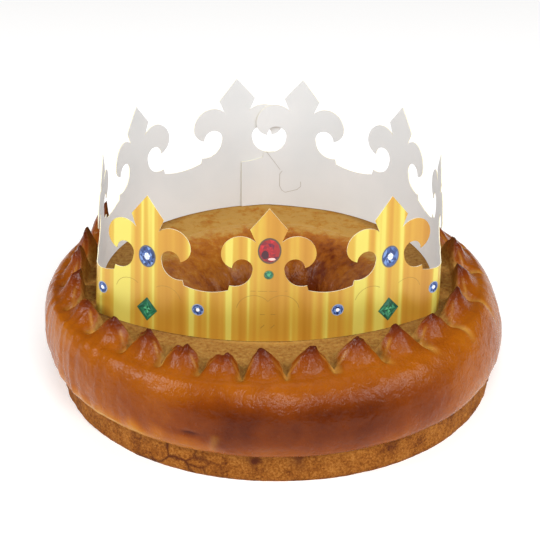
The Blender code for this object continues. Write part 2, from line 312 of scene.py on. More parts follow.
def dough_place(radius, height, azimuth, share, peak, turn, span):
    """Where a point of the plain section ends up, and what its crust is like there."""
    _, tall, blunt, curl, twin = peak
    plain_radius = radius
    plain = (radius * sin(azimuth), -radius * cos(azimuth), height)
    inside_hole = radius < LIP_RADIUS and height > 0.0005
    top = height >= TOP_HEIGHT - 0.0001
    outer = not inside_hole and radius > PEAK_RADIUS and height > 0.0001
    # How far round the dome's roll this is: 0 where it is widest, positive above, negative below.
    roll = atan2(
        (height - DOME_WIDEST_HEIGHT) / DOME_ROLL_RISE,
        (radius - DOME_RADIUS + DOME_ROLL_RADIUS) / DOME_ROLL_RADIUS,
    )
    if height < DOME_WIDEST_HEIGHT:
        roll = -(DOME_WIDEST_HEIGHT - height) / (DOME_WIDEST_HEIGHT - SEAM_HEIGHT)
    rise = 0.0
    if top:
        jag = 0.14 * wave(plain, 0.0035, 5) * (1 - share)
        ragged = min(share * (1 + 0.20 * wave(plain, 0.006, 9)) + jag, 1.0)
        slender = TALL_PEAKS_SLENDER * near(azimuth, TALL_PEAKS_AZIMUTH, 22)
        rise = peak_height(ragged, radius, blunt, slender)
        if twin:
            rise *= 1 - 0.26 * exp(-((turn / span + 0.1) / 0.15) ** 2) * smoothstep(rise, 0.45, 0.85)
    # The notch: the shears pull the outer crust down.
    notch = 0.0
    if top:
        notch = smoothstep(share, 0.66, 1.0) * exp(-(((radius - PEAK_RADIUS - 0.0050) / 0.0055) ** 2))
    taller = 1 + TALL_PEAKS_EXTRA * near(azimuth, TALL_PEAKS_AZIMUTH, 34)
    height += PEAK_RISE * tall * taller * rise - NOTCH_DEPTH * notch
    radius += peak_ring_shift(azimuth) * near_peak_ring(plain_radius, plain[2])
    # Tips curl over, outwards or inwards and to one side.
    radius += TIP_CURL_OUT * rise ** 3 * (1 if curl > 0 else -0.5)
    side = TIP_CURL_SIDEWAYS * curl * rise ** 2
    if rise > 0.3:
        # They dried first in the oven, so their skin is puckered.
        pucker = smoothstep(rise, 0.3, 0.9)
        radius += 0.0011 * pucker * wave(plain, 0.0026, 51)
        side += 0.0009 * pucker * wave(plain, 0.0030, 53)
    if outer and plain[2] > DOME_WIDEST_HEIGHT:
        # The section's corner at the shoulder is rounded off.
        height -= SHOULDER_DROP * exp(-abs(plain_radius - SHOULDER_RADIUS) / SHOULDER_EASE)
    # Unevenness of the whole: slow swells, then creases and blisters.
    slow = wave(plain, 0.045, 2)
    middle = wave(plain, 0.013, 7)
    fine = wave(plain, 0.0045, 11)
    gold = 0.0
    bake_and_shade = 0.0
    if outer:
        stretchy = noise.noise(Vector((azimuth * 24, plain[2] * 26, 4.0)))
        on_dome = smoothstep(plain[2], SEAM_HEIGHT, SEAM_HEIGHT + 0.006)
        out = 0.00045 * slow + 0.00036 * middle + 0.00022 * fine + 0.00010 * wave(plain, 0.0024, 13)
        out += 0.0010 * stretchy * near(azimuth, -66, 30) * on_dome - 0.0005
        # Creases run out and down from the notches, deepest where the skin tore on the right.
        run = smoothstep(share + 0.12 * wave(plain, 0.02, 21), 0.76, 0.98)
        torn = near(azimuth, 80, 40)
        reach = 1 - smoothstep(plain_radius, 0.1060 + 0.009 * torn, 0.1120 + 0.014 * torn)
        gold = run * reach * smoothstep(plain_radius, PEAK_RADIUS, PEAK_RADIUS + 0.003)
        rim = exp(-(((plain_radius - PEAK_RADIUS - 0.0055 * share) / 0.0009) ** 2))
        rim *= smoothstep(share, 0.30, 0.60)
        gold = max(gold, rim * (0.40 + 0.35 * wave(plain, 0.004, 23)))
        out -= 0.0012 * gold * smoothstep(plain_radius, 0.104, 0.108)
        # It is darkest on the front of the roll, a little above its widest, and stayed golden where it hangs
        # over the tin's edge.
        spread = 0.40 if roll > 0.30 else 1.30
        bake_and_shade = 0.9 * exp(-(((roll - 0.30) / spread) ** 2)) * (0.14 + 0.86 * near(azimuth, 8, 37))
        under = smoothstep(-roll + 0.45 * wave(plain, 0.011, 63), 0.15, 0.95)
        bake_and_shade -= under * (0.95 * near(azimuth, -42, 26) + 0.30 * near(azimuth, 80, 26))
        bake_and_shade += 0.16 * exp(-(((roll - 1.25) / 0.30) ** 2))
        bake_and_shade += 0.30 * slow
        # The overhang swells on the left and is nearly flush in front.
        out += (0.0014 * near(azimuth, -45, 26) - 0.0009 * near(azimuth, 0, 24)) * under * on_dome
        crease = near(azimuth, -19.5, 2.4) * exp(-(((plain[2] - 0.0285) / 0.0012) ** 2))
        ridge = near(azimuth, -14.6 + 150 * (plain[2] - 0.020), 0.8)
        ridge *= 1 - smoothstep(plain[2], 0.028, 0.031)
        out += (0.0012 * ridge - 0.0014 * crease) * on_dome
        # Painted shade: the crease is coloured darker as well as cut in.
        bake_and_shade += 0.6 * crease
        gold = max(gold, 0.28 * ridge * on_dome)
        radius += out * cos(max(roll, 0.0))
        height += out * sin(max(roll, 0.0))
    crumb = 0.0
    if top and plain_radius < PEAK_RADIUS + 0.006:
        edge = PEAK_RADIUS + 0.0050 * smoothstep(share, 0.70, 1.0)
        crumb = 1 - smoothstep(plain_radius, edge - 0.0008, edge + 0.0004)
        crumb *= 1 - 0.75 * smoothstep(rise, 0.25, 0.75)
        height += (0.00030 * wave(plain, 0.0060, 31) + 0.00016 * wave(plain, 0.0026, 33)) * (1 - rise)
    if inside_hole:
        streak = noise.noise(Vector((azimuth * 9, plain[2] * 22 + 0.6 * azimuth, 8.0)))
        deep = smoothstep(TOP_HEIGHT - plain[2], 0.002, 0.016)
        fold = near(azimuth, 145, 7) + 0.8 * near(azimuth, -150, 8) + near(azimuth, 40, 9)
        radius += (0.0011 * streak + 0.0022 * fold) * deep + 0.0008 * slow
    if top and plain_radius < PEAK_RADIUS - PEAK_INNER_FOOT:
        height += 0.0002 * slow
    tin = 0.0
    if radius > 0.1 and plain[2] < SEAM_HEIGHT + 0.003:
        sag = 0.0010 * wave(plain, 0.02, 41) - 0.0008 * near(azimuth, -45, 26)
        tin = 1 - smoothstep(plain[2] - sag, SEAM_HEIGHT - 0.0012, SEAM_HEIGHT + 0.0010)
        radius += (0.00025 * wave(plain, 0.0030, 43) + 0.0006 * wave(plain, 0.016, 47)) * tin
    scar = near(azimuth, -26, 13)
    stain = near(azimuth, -4.5, 2.2) + 0.7 * near(azimuth, 5.5, 1.8) + 0.8 * near(azimuth, -37, 2.5)
    stain = (stain + 0.6 * near(azimuth, 30, 2.0) + 0.5 * near(azimuth, 51, 1.6)) * tin
    stain *= (0.55 + 1.6 * wave(plain, 0.0055, 61)) * smoothstep(plain[2], 0.002, 0.014)
    # Painted shade, partly browner crust: the hole is coloured darker further in, further down and on its
    # back right.
    hole_crust_and_shade = 0.0
    if inside_hole or (top and plain_radius < PEAK_RADIUS - PEAK_INNER_FOOT):
        inward = (LIP_RADIUS - plain_radius) / (LIP_RADIUS - HOLE_WAIST_RADIUS)
        sunk = smoothstep(TOP_HEIGHT - plain[2], 0.008, 0.032)
        hole_crust_and_shade = 0.06 + 0.44 * smoothstep(inward, 0.04, 0.50) + 0.40 * sunk
        hole_crust_and_shade += 0.34 * near(azimuth, 142, 28) * smoothstep(inward, 0.05, 0.5)
        rind = LIP_RADIUS - 0.006 + 0.022 * near(azimuth, 180, 60)
        hole_crust_and_shade *= 1 - smoothstep(plain_radius, rind, rind + 0.010)
    radius *= 1 + SQUEEZE * cos(2 * azimuth) + FRONT_RIGHT_SWELL * near(azimuth, 50, 38)
    lean = LEAN_LEFT * (plain[2] / TOP_HEIGHT) ** 1.8 if plain[2] > 0 else 0.0
    x = radius * sin(azimuth) + side * cos(azimuth) - lean
    y = -radius * cos(azimuth) + side * sin(azimuth)
    z = max(height - sink(y, height), 0.0)
    # A peak is toasted by how high it rises.
    values = (crumb, rise, tin, hole_crust_and_shade, gold, 0.5 + 0.5 * bake_and_shade, scar, max(stain, 0.0))
    masks = dict(zip(CRUST_MASKS, values))
    return Vector((x + FOOT_CENTRE_X, y, z)), masks


# ---- Crown: the shape ----

TIP = (0.0, 0.0751)
DIAMOND_CORNER = (0.0095, 0.0632)
NECK = (0.0066, 0.0562)
SCROLL_TOP = (0.0149, 0.0592)
SCROLL_SIDE = (0.0243, 0.0499)
SCROLL_UNDERSIDE = (0.0230, 0.0445)
HOOK = (0.0186, 0.0413)
BITE_TOP = (0.0143, 0.0465)
STEM = (0.0083, 0.0395)
BITE_FOOT = (0.0106, 0.0342)
STEP_TOP = (0.0199, 0.0313)
STEP_FOOT = (0.0206, 0.0284)
VALLEY_SAG = 0.0019


def arc_through(start, via, end, steps):
    """Points after start up to and with end, on the circle through the three."""
    ax, ay = start
    bx, by = via
    cx, cy = end
    d = 2 * (ax * (by - cy) + bx * (cy - ay) + cx * (ay - by))
    a2, b2, c2 = ax * ax + ay * ay, bx * bx + by * by, cx * cx + cy * cy
    ox = (a2 * (by - cy) + b2 * (cy - ay) + c2 * (ay - by)) / d
    oy = (a2 * (cx - bx) + b2 * (ax - cx) + c2 * (bx - ax)) / d
    radius = hypot(ax - ox, ay - oy)
    first = atan2(ay - oy, ax - ox)
    middle = (atan2(by - oy, bx - ox) - first) % (2 * pi)
    last = (atan2(cy - oy, cx - ox) - first) % (2 * pi)
    if middle > last:
        last -= 2 * pi
    turns = [first + last * (i + 1) / steps for i in range(steps)]
    return [(ox + radius * cos(t), oy + radius * sin(t)) for t in turns]


def half_fleur():
    """From the tip down the right-hand side of one fleur to the middle of the valley."""
    valley_end = (0.5 * PITCH, STEP_FOOT[1] - VALLEY_SAG)
    points = [TIP, DIAMOND_CORNER, NECK]
    points += arc_through(NECK, SCROLL_TOP, SCROLL_SIDE, 14)
    points += arc_through(SCROLL_SIDE, SCROLL_UNDERSIDE, HOOK, 6)
    points += arc_through(HOOK, BITE_TOP, STEM, 14)
    points += arc_through(STEM, BITE_FOOT, STEP_TOP, 10)
    points.append(STEP_FOOT)
    run = valley_end[0] - STEP_FOOT[0]
    for share in (0.25, 0.5, 0.75, 1.0):
        points.append((STEP_FOOT[0] + run * share, STEP_FOOT[1] - VALLEY_SAG * (1 - (1 - share) ** 2)))
    return points


def strip_outline():
    """The whole cut edge of the flat strip: along the fleurs from left to right, then back below."""
    right = half_fleur()
    fleur = [(-x, y) for x, y in reversed(right)] + right[1:]
    points = []
    for k in range(-FLEURS_EACH_WAY, FLEURS_EACH_WAY + 1):
        points += [(x + k * PITCH, y) for x, y in (fleur if k == -FLEURS_EACH_WAY else fleur[1:])]
    return points + [(HALF_STRIP, 0.0), (-HALF_STRIP, 0.0)]


def side_lengths():
    """Distances along half the closed ring at which the front arc, the crease and the side end."""
    front = FRONT_ARC_RADIUS * FRONT_ARC_HALF_ANGLE
    return front, front + CREASE_WIDTH, front + CREASE_WIDTH + SIDE_LENGTH


def bent(run, turned, radius, distance):
    """A point and heading after going on by distance on an arc of this radius."""
    x, y = run
    now = turned + distance / radius
    return (x + radius * (sin(now) - sin(turned)), y - radius * (cos(now) - cos(turned))), now


def back_arc():
    """Start of the arc that closes the ring at the back, its heading, and its radius."""
    run, turned = bent((0.0, 0.0), 0.0, FRONT_ARC_RADIUS, side_lengths()[0])
    run, turned = bent(run, turned, CREASE_WIDTH / CREASE_ANGLE, CREASE_WIDTH)
    run, turned = bent(run, turned, SIDE_RADIUS, SIDE_LENGTH)
    return run, turned, run[0] / sin(turned)


SIDE_LENGTHS = side_lengths()
BACK_ARC = back_arc()
RING_LENGTH = 2 * (SIDE_LENGTHS[2] + BACK_ARC[2] * (pi - BACK_ARC[1]))


def ring_point(along):
    """Plan place and heading of a point this far along the strip from the middle of the front."""
    front, crease, side = SIDE_LENGTHS
    far = abs(along)
    run, turned = bent((0.0, 0.0), 0.0, FRONT_ARC_RADIUS, min(far, front))
    if far > front:
        run, turned = bent(run, turned, CREASE_WIDTH / CREASE_ANGLE, min(far, crease) - front)
    if far > crease:
        run, turned = bent(run, turned, SIDE_RADIUS, min(far, side) - crease)
    if far > side:
        run, turned = bent(run, turned, BACK_ARC[2], far - side)
    sign = 1 if along >= 0 else -1
    return sign * run[0], run[1], sign * turned


def crown_place(along, up, out):
    """Where a point of the flat strip goes: out is towards the printed face."""
    x, y, heading = ring_point(along)
    inner_end_starts = RING_LENGTH - HALF_STRIP
    step_in = (CARD + GAP) * smoothstep(along, inner_end_starts - OVERLAP_EASE, inner_end_starts - 0.002)
    lean = (BACK_FLARE - FLARE_TWIST * sin(heading)) * (0.5 - 0.5 * cos(heading)) ** 2
    if along < 0:
        lean -= LEFT_LEAN_IN * sin(heading) ** 2
    crease = SOFT_CREASE_RISE * exp(-abs(abs(along) - SOFT_CREASE) / SOFT_CREASE_REACH)
    off = out - step_in + lean * up + crease
    y += CROWN_FRONT_Y - off * cos(heading)
    return Vector((
        FOOT_CENTRE_X + CROWN_MIDDLE_X + x + off * sin(heading) + LEAN_RIGHT * up,
        y + LEAN_BACK * up,
        TOP_HEIGHT + GAP + up - sink(y, TOP_HEIGHT),
    ))


def bend_stations():
    """Distances along the strip at which it is cut across, closer together at the two creases."""
    count = floor(HALF_STRIP / STATION_STEP)
    stations = [STATION_STEP * i for i in range(-count, count + 1)]
    front = SIDE_LENGTHS[0]
    for i in range(9):
        place = front + CREASE_WIDTH * i / 8
        stations += [place, -place]
    return stations


def bend_onto_ring(bm):
    """Keeps each point's place on the flat strip as an attribute, then bends the strip round the cake."""
    strip = bm.verts.layers.float_vector.new("strip")
    for vertex in bm.verts:
        vertex[strip] = vertex.co
        vertex.co = crown_place(*vertex.co)


def make_crown(print_ink, reverse, cut_edge):
    bm = bmesh.new()
    bm.faces.new([bm.verts.new((x, y, 0.0)) for x, y in strip_outline()])
    for station in bend_stations():
        bmesh.ops.bisect_plane(
            bm, geom=bm.faces[:] + bm.edges[:] + bm.verts[:], dist=1e-6,
            plane_co=(station, 0.0, 0.0), plane_no=(1.0, 0.0, 0.0),
        )
    bmesh.ops.triangulate(bm, faces=bm.faces[:])
    grown = bmesh.ops.extrude_face_region(bm, geom=bm.faces[:])
    lifted = [v for v in grown["geom"] if isinstance(v, bmesh.types.BMVert)]
    bmesh.ops.translate(bm, verts=lifted, vec=(0.0, 0.0, CARD))
    bmesh.ops.recalc_face_normals(bm, faces=bm.faces[:])
    for face in bm.faces:
        face.material_index = 0 if face.normal.z > 0.5 else 1 if face.normal.z < -0.5 else 2
    for edge in bm.edges:
        if len({face.material_index for face in edge.link_faces}) > 1:
            edge.smooth = False
    bend_onto_ring(bm)
    return add_piece("card_crown", bm, [print_ink, reverse, cut_edge], ["paper_crown"])


# ---- The crown's print ----


def add_shape(bm, colour_layer, outline, colours, lift):
    """A flat patch of ink: a fan of facets inside the outline, painted in turn with the colours."""
    count = len(outline)
    middle = Vector((sum(p[0] for p in outline) / count, sum(p[1] for p in outline) / count, lift))
    hub = bm.verts.new(middle)
    rim = [bm.verts.new((x, y, lift)) for x, y in outline]
    for i, corner in enumerate(rim):
        face = bm.faces.new((hub, corner, rim[(i + 1) % len(rim)]))
        for loop in face.loops:
            loop[colour_layer] = linear(colours[i % len(colours)])


def oval(centre, half_width, half_height, count, turn=0.0):
    steps = [turn + 2 * pi * i / count for i in range(count)]
    return [(centre[0] + half_width * cos(a), centre[1] + half_height * sin(a)) for a in steps]


def facet_ring(bm, colour_layer, outer, inner, colours, lift, rng):
    """A ring of triangular facets between two outlines of one count, each in a colour of its own."""
    a = [bm.verts.new((x, y, lift)) for x, y in outer]
    b = [bm.verts.new((x, y, lift)) for x, y in inner]
    count = len(a)
    for i in range(count):
        for corners in ((a[i], a[(i + 1) % count], b[i]), (b[i], a[(i + 1) % count], b[(i + 1) % count])):
            face = bm.faces.new(corners)
            colour = linear(rng.choice(colours))
            for loop in face.loops:
                loop[colour_layer] = colour


def printed_stone(bm, layer, centre, half_width, half_height, rim, facets, heart, rng, count=12):
    """An oval stone in print: a dark rim, two rings of facets and a bright or dark heart."""
    lift = CARD + INK_LIFT
    add_shape(bm, layer, oval(centre, half_width, half_height, 2 * count), [rim], lift)
    rings = [
        oval(centre, half_width * s, half_height * s, count, t)
        for s, t in ((0.88, 0.0), (0.60, pi / count), (0.32, 0.0))
    ]
    for outer, inner in zip(rings, rings[1:]):
        facet_ring(bm, layer, outer, inner, facets, lift + INK_LIFT, rng)
    add_shape(bm, layer, rings[-1], heart, lift + INK_LIFT)


def make_print(ink):
    bm = bmesh.new()
    layer = bm.loops.layers.float_color.new("ink")
    rng = Random(6)
    reds = ["#8e1420", "#a81a22", "#7a1622", "#b8202a", "#5c1230", "#941c1c"]
    blues = ["#34508c", "#1e3468", "#4c68a4", "#16264e", "#6a88c2", "#28427c"]
    greens = ["#1c6244", "#24704c", "#0f4636", "#3e8e6a", "#17523c", "#306a56"]
    top_ink = CARD + 3 * INK_LIFT
    for k in range(-FLEURS_EACH_WAY, FLEURS_EACH_WAY + 1):
        middle = k * PITCH
        if k % 2 == 0:
            place = (middle + 0.0004, 0.0516)
            printed_stone(bm, layer, place, 0.0060, 0.0073, "#5a4030", reds, ["#a81a22", "#8e1420"], rng)
            shadow = oval((place[0] - 0.0022, place[1] - 0.0022), 0.0019, 0.0026, 8)
            add_shape(bm, layer, shadow, ["#3e1420"], top_ink)
            glint = oval((place[0] + 0.0012, place[1] - 0.0046), 0.0020, 0.0008, 8)
            add_shape(bm, layer, glint, ["#e8b8b0"], top_ink)
            below = (middle + 0.0002, 0.0381)
            printed_stone(bm, layer, below, 0.0026, 0.0026, "#6a6a30", greens, ["#4a9a6a"], rng, 7)
            for side in (-0.0362, 0.0362):
                if abs(middle + side) < HALF_STRIP - 0.004:
                    spot = (middle + side, 0.0158)
                    printed_stone(bm, layer, spot, 0.0033, 0.0033, "#8a96b0", blues, ["#f4f8ff"], rng, 8)
        else:
            place = (middle, 0.0411)
            printed_stone(bm, layer, place, 0.0050, 0.0062, "#52545e", blues, ["#f4f6ff", "#b8c8ea"], rng)
            reach = [0.0024 if i % 4 == 0 else 0.0013 if i % 2 == 0 else 0.0005 for i in range(16)]
            star = [
                (place[0] + r * cos(2 * pi * i / 16), place[1] + 1.2 * r * sin(2 * pi * i / 16))
                for i, r in enumerate(reach)
            ]
            add_shape(bm, layer, star, ["#ccd8f0"], top_ink)
            diamond = [(0.0060, 0.0), (0.0030, 0.0034), (0.0, 0.0068), (-0.0030, 0.0034),
                       (-0.0060, 0.0), (-0.0030, -0.0034), (0.0, -0.0068), (0.0030, -0.0034)]
            lozenge = [(middle + x, 0.0110 + y) for x, y in diamond]
            add_shape(bm, layer, lozenge, ["#24553c"], CARD + INK_LIFT)
            rings = [[(middle + s * x, 0.0110 + s * y) for x, y in diamond] for s in (0.92, 0.66, 0.36)]
            for outer, inner in zip(rings, rings[1:]):
                facet_ring(bm, layer, outer, inner, greens, CARD + 2 * INK_LIFT, rng)
            add_shape(bm, layer, rings[-1], ["#5ab080", "#0f4a36", "#2f8a56"], CARD + 2 * INK_LIFT)
    bmesh.ops.subdivide_edges(bm, edges=bm.edges[:], cuts=1, use_grid_fill=True)
    bmesh.ops.recalc_face_normals(bm, faces=bm.faces[:])
    for face in bm.faces:
        if face.normal.z < 0:
            face.normal_flip()
    bend_onto_ring(bm)
    return add_piece("printed_stones", bm, [ink])


def add_score(bm, points, width, out):
    """A thin line along points on the strip, for a score or cut in the card and for painted shade along a
    dent.
    """
    sides = []
    for i, (x, y) in enumerate(points):
        before = points[max(i - 1, 0)]
        after = points[min(i + 1, len(points) - 1)]
        run = Vector((after[0] - before[0], after[1] - before[1]))
        across = Vector((-run.y, run.x)).normalized() * width / 2
        upper = bm.verts.new((x + across.x, y + across.y, out))
        lower = bm.verts.new((x - across.x, y - across.y, out))
        sides.append((upper, lower))
    for (a, b), (c, d) in zip(sides, sides[1:]):
        face = bm.faces.new((a, b, d, c))
        face.normal_update()
        if (face.normal.z > 0) != (out > 0):
            face.normal_flip()


def make_scores(score_and_shade_line):
    bm = bmesh.new()
    outside = CARD + 0.5 * INK_LIFT
    inside = -INK_LIFT
    for k in range(-FLEURS_EACH_WAY, FLEURS_EACH_WAY + 1):
        middle = k * PITCH
        if k % 2 == 0:
            cross = [(middle + x, 0.0288) for x in (-0.0090, -0.003, 0.003, 0.0100)]
            add_score(bm, cross, SCORE_WIDTH, outside)
            for side in (-1, 1):
                bow = arc_through((0.0, 0.0230), (side * 0.0085, 0.0262), (side * 0.0160, 0.0190), 10)
                add_score(bm, [(middle + x, y) for x, y in [(0.0, 0.0230)] + bow], SCORE_WIDTH, outside)
                dash = [(middle + side * x, 0.0155) for x in (0.0015, 0.0040)]
                add_score(bm, dash, SLIT_WIDTH, outside)
                tick_x = middle + side * 0.0026
                add_score(bm, [(tick_x - 0.001, 0.0076), (tick_x + 0.001, 0.0096)], SLIT_WIDTH, outside)
        else:
            for side in (-1, 1):
                bow = arc_through(
                    (side * 0.0040, 0.0235), (side * 0.0120, 0.0262), (side * 0.0190, 0.0200), 10
                )
                add_score(bm, [(middle + x, y) for x, y in bow], SCORE_WIDTH, outside)
    tongue = [(0.0099, 0.0206), (0.0112, 0.0188), (0.0112, 0.0115), (0.0099, 0.0091),
              (0.0080, 0.0079), (0.0012, 0.0103), (-0.0008, 0.0124), (-0.0006, 0.0152)]
    last = FLEURS_EACH_WAY * PITCH
    add_score(bm, [(last + x, y) for x, y in tongue], SLIT_WIDTH, inside)
    # Painted shade: a short diagonal line on the reverse along a dent in the card.
    dent_shade_line = [(0.0187, 0.0315), (0.0150, 0.0265), (0.0110, 0.0212)]
    add_score(bm, [(last + x, y) for x, y in dent_shade_line], 0.00025, inside)
    bend_onto_ring(bm)
    return add_piece("score_and_shade_lines", bm, [score_and_shade_line])


# ---- Materials ----


def new_material(name):
    material = bpy.data.materials.new(name)
    material.use_nodes = True
    return material, material.node_tree.nodes["Principled BSDF"]


def add_node(material, kind, settings=None, links=None):
    """Adds a node: settings are properties or sockets, links are sockets fed by other nodes' outputs."""
    node = material.node_tree.nodes.new(kind)
    for name, value in (settings or {}).items():
        if isinstance(name, int) or name in node.inputs:
            node.inputs[name].default_value = value
        else:
            setattr(node, name, value)
    for name, source in (links or {}).items():
        material.node_tree.links.new(source, node.inputs[name])
    return node


def set_ramp(node, stops):
    ramp = node.color_ramp
    while len(ramp.elements) < len(stops):
        ramp.elements.new(0.5)
    for element, (place, colour) in zip(ramp.elements, stops):
        element.position = place
        element.color = linear(colour)
    return node.outputs["Color"]


def blend_colour(material, factor, low, high, mode="MIX"):
    """low where factor is 0 and high where it is 1; each is a hex colour or an output."""
    node = add_node(material, "ShaderNodeMix", {"data_type": "RGBA", "blend_type": mode})
    for socket, value in ((0, factor), (6, low), (7, high)):
        if isinstance(value, str):
            node.inputs[socket].default_value = linear(value)
        elif isinstance(value, float):
            node.inputs[socket].default_value = value
        else:
            material.node_tree.links.new(value, node.inputs[socket])
    return node.outputs[2]


def blend_value(material, factor, low, high):
    """low where factor is 0 and high where it is 1, as numbers."""
    node = add_node(material, "ShaderNodeMapRange", {"To Min": low, "To Max": high}, {"Value": factor})
    return node.outputs["Result"]


def brioche_crust():
    """Enriched dough brushed with egg and baked: glossy amber to mahogany where it domed, dull and
    pale where the shears or the tin kept the egg off."""
    m, shader = new_material("egg_washed_brioche")
    link = m.node_tree.links.new
    place = add_node(m, "ShaderNodeTexCoord").outputs["Object"]
    mask = {
        name: add_node(m, "ShaderNodeAttribute", {"attribute_name": name}).outputs["Fac"]
        for name in CRUST_MASKS
    }

    def clouds(size_mm, detail=3.0, rough=0.55, warp=0.0, where=place):
        return add_node(
            m, "ShaderNodeTexNoise",
            {"Scale": 1000.0 / size_mm, "Detail": detail, "Roughness": rough, "Distortion": warp},
            {"Vector": where},
        ).outputs["Fac"]

    # Bake and shade: how far each part browned, with painted shade in the crease, and slow patches and brush
    # marks of a few millimetres over it.
    patches = clouds(30, 3.0, 0.55)
    mottle = clouds(5.0, 5.0, 0.62, 0.5)
    marks = add_node(m, "ShaderNodeMath", {"operation": "MULTIPLY_ADD", 1: 0.30}, {0: mottle, 2: patches})
    # The marks swing round 0.65: at 0.40 of their strength, less 0.26, they swing round 0.
    baked = add_node(
        m, "ShaderNodeMath", {"operation": "MULTIPLY_ADD", 1: 0.40, 2: -0.26}, {0: marks.outputs[0]}
    )
    bake_and_shade_level = add_node(m, "ShaderNodeMath", {"operation": "ADD"}, {0: baked.outputs[0], 1: mask["bake_and_shade"]})
    glaze = set_ramp(
        add_node(m, "ShaderNodeValToRGB", None, {"Fac": bake_and_shade_level.outputs[0]}),
        [(0.05, "#bc8828"), (0.28, "#aa660e"), (0.50, "#985006"), (0.74, "#763404"), (0.98, "#4c1902")],
    )
    toast = add_node(m, "ShaderNodeMapRange", {"From Min": 0.06, "From Max": 0.66}, {"Value": mask["toast"]})
    toasted = blend_colour(m, toast.outputs[0], glaze, "#743006")
    charred = add_node(m, "ShaderNodeMapRange", {"From Min": 0.62, "From Max": 1.0}, {"Value": mask["toast"]})
    tipped = blend_colour(m, charred.outputs[0], toasted, "#481606")
    golden = blend_colour(m, mask["gold"], tipped, "#b8843a")
    # Cut dough, never brushed: matt tan with open pits.
    pits = clouds(2.2, 4.0, 0.7)
    crumb_colour = set_ramp(
        add_node(m, "ShaderNodeValToRGB", None, {"Fac": pits}),
        [(0.30, "#744718"), (0.46, "#8e632c"), (0.62, "#9b7438"), (0.80, "#ab8748")],
    )
    cut = blend_colour(m, mask["crumb"], golden, crumb_colour)
    # The tin's side: greased and dry baked, grainy, cracked where it folded against the tin.
    grains = clouds(1.3, 5.0, 0.8)
    blotches = add_node(m, "ShaderNodeMath", {"operation": "MULTIPLY", 1: 0.45}, {0: clouds(9, 3.0, 0.6)})
    tin_mix = add_node(
        m, "ShaderNodeMath", {"operation": "MULTIPLY_ADD", 1: 1.1}, {0: grains, 2: blotches.outputs[0]}
    )
    tin_colour = set_ramp(
        add_node(m, "ShaderNodeValToRGB", None, {"Fac": tin_mix.outputs[0]}),
        [(0.56, "#4a2006"), (0.67, "#743e0c"), (0.79, "#8e5418"), (0.98, "#ae7432")],
    )
    warped = add_node(m, "ShaderNodeMix", {"data_type": "VECTOR", 0: 0.012}, {4: place})
    swirl = add_node(m, "ShaderNodeTexNoise", {"Scale": 70.0, "Detail": 3.0}, {"Vector": place})
    link(swirl.outputs["Color"], warped.inputs[5])
    cells = add_node(
        m, "ShaderNodeTexVoronoi",
        {"feature": "DISTANCE_TO_EDGE", "Scale": 62.0},
        {"Vector": warped.outputs[1]},
    )
    crack = add_node(
        m, "ShaderNodeMapRange",
        {"From Min": 0.0, "From Max": 0.07, "To Min": 1.0, "To Max": 0.0},
        {"Value": cells.outputs["Distance"]},
    )
    cracks = add_node(m, "ShaderNodeMath", {"operation": "MULTIPLY"}, {0: crack.outputs[0], 1: mask["scar"]})
    cracked = blend_colour(m, cracks.outputs[0], tin_colour, "#4a1c06")
    sided = blend_colour(m, mask["tin"], cut, cracked)
    # Painted shadow: a dark, broken line under the overhang, where the dome sits on the tin's edge.
    fold = add_node(m, "ShaderNodeMath", {"operation": "PINGPONG", 1: 0.5}, {0: mask["tin"]})
    ragged = add_node(
        m, "ShaderNodeMapRange",
        {"From Min": 0.46, "From Max": 0.62, "To Max": 1.7},
        {"Value": clouds(6, 3.0)},
    )
    shade = add_node(
        m, "ShaderNodeMath",
        {"operation": "MULTIPLY", "use_clamp": True},
        {0: fold.outputs[0], 1: ragged.outputs[0]},
    )
    seam_shadowed = blend_colour(m, shade.outputs[0], sided, "#4a1e08")
    seam_shadowed = blend_colour(m, mask["stain"], seam_shadowed, "#52230c")
    # The hole: gold at its lip, darker and streaked downwards; the darkening is partly browner crust and
    # partly painted shade in the hole.
    turned = add_node(m, "ShaderNodeMapping", {"Scale": (1.0, 1.0, 0.20)}, {"Vector": place})
    streaks = clouds(4.5, 4.0, 0.6, 0.4, turned.outputs[0])
    patched = add_node(
        m, "ShaderNodeMath", {"operation": "ADD"}, {0: clouds(13, 5.0, 0.65, 0.6), 1: mask["hole_crust_and_shade"]}
    )
    depth = add_node(
        m, "ShaderNodeMath", {"operation": "MULTIPLY_ADD", 1: 1.2}, {0: streaks, 2: patched.outputs[0]}
    )
    fathom = add_node(
        m, "ShaderNodeMapRange", {"From Min": 0.98, "From Max": 2.16}, {"Value": depth.outputs[0]}
    )
    well_colour = set_ramp(
        add_node(m, "ShaderNodeValToRGB", None, {"Fac": fathom.outputs[0]}),
        [(0.12, "#ae8440"), (0.25, "#a87830"), (0.42, "#9e5e18"), (0.70, "#884810"), (1.0, "#602608")],
    )
    in_well = add_node(m, "ShaderNodeMapRange", {"From Min": 0.0, "From Max": 0.04}, {"Value": mask["hole_crust_and_shade"]})
    coloured = blend_colour(m, in_well.outputs[0], seam_shadowed, well_colour)
    link(coloured, shader.inputs["Base Color"])

    dull = add_node(m, "ShaderNodeMath", {"operation": "MAXIMUM"}, {0: mask["crumb"], 1: mask["tin"]})
    gloss = blend_value(m, clouds(7, 4.0), 0.14, 0.34)
    rough = add_node(m, "ShaderNodeMix", {"data_type": "FLOAT", 3: 0.82}, {0: dull.outputs[0], 2: gloss})
    link(rough.outputs[0], shader.inputs["Roughness"])
    shader.inputs["IOR"].default_value = 1.46
    shader.inputs["Specular IOR Level"].default_value = 0.16
    shader.inputs["Subsurface Weight"].default_value = 0.04
    shader.inputs["Subsurface Radius"].default_value = (1.0, 0.45, 0.2)
    shader.inputs["Subsurface Scale"].default_value = 0.0015

